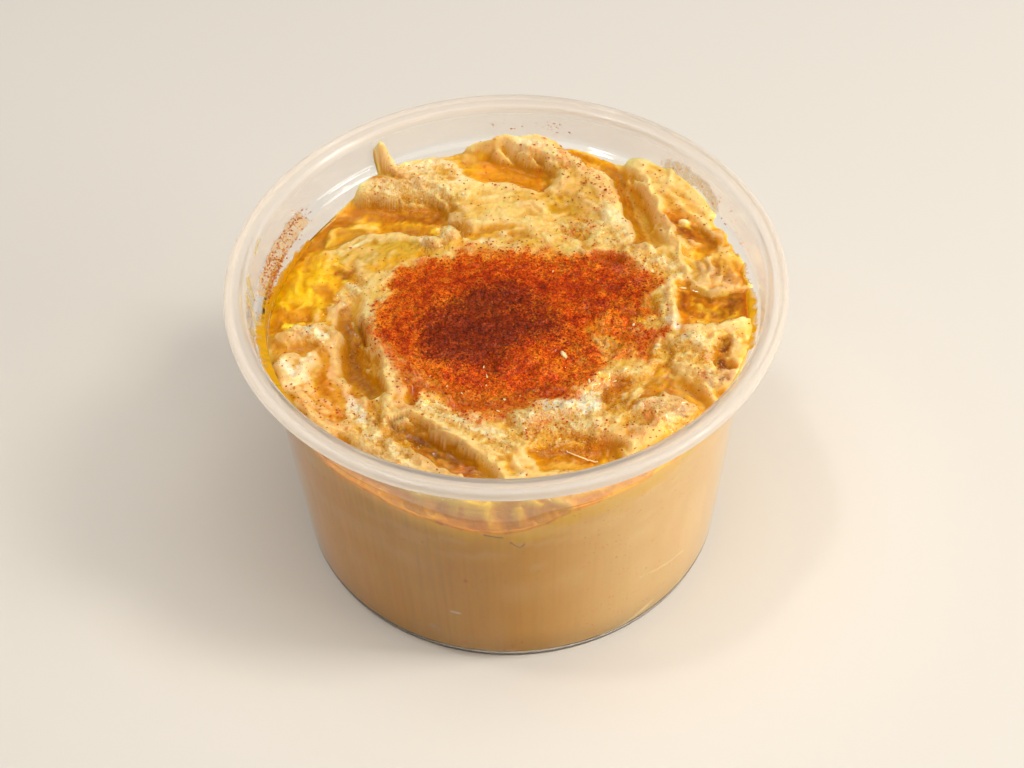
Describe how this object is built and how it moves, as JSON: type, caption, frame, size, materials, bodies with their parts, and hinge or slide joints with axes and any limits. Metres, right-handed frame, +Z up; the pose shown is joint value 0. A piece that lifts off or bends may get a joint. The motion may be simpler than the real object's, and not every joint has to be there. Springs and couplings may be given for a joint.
{
  "type": "hummus in a deli pot",
  "caption": "Spooned hummus with pools of oil and a dusting of paprika, filling a clear round tapered deli pot with a rolled rim.",
  "frame": {"origin": "middle of the pot's flat base, on the surface it stands on", "axes": "+Z up along the pot's axis, +Y away from the side that shows the oily pit, +X towards the side where the food stands highest"},
  "size_m": [0.117, 0.117, 0.0714],
  "materials": {
    "cup": "clear moulded polypropylene, slightly milky, satin",
    "hummus": "soft cream-coloured paste with a damp sheen",
    "oil": "clear golden to amber oil, wet gloss",
    "paprika": "dry red-brown ground spice, dark where it lies thick"
  },
  "bodies": {
    "root": {"cup": "cup", "hummus": "hummus", "oil_left": "oil", "oil_back": "oil", "oil_right": "oil", "oil_right_back": "oil", "oil_front": "oil", "paprika": "paprika"}
  },
  "joints": []
}
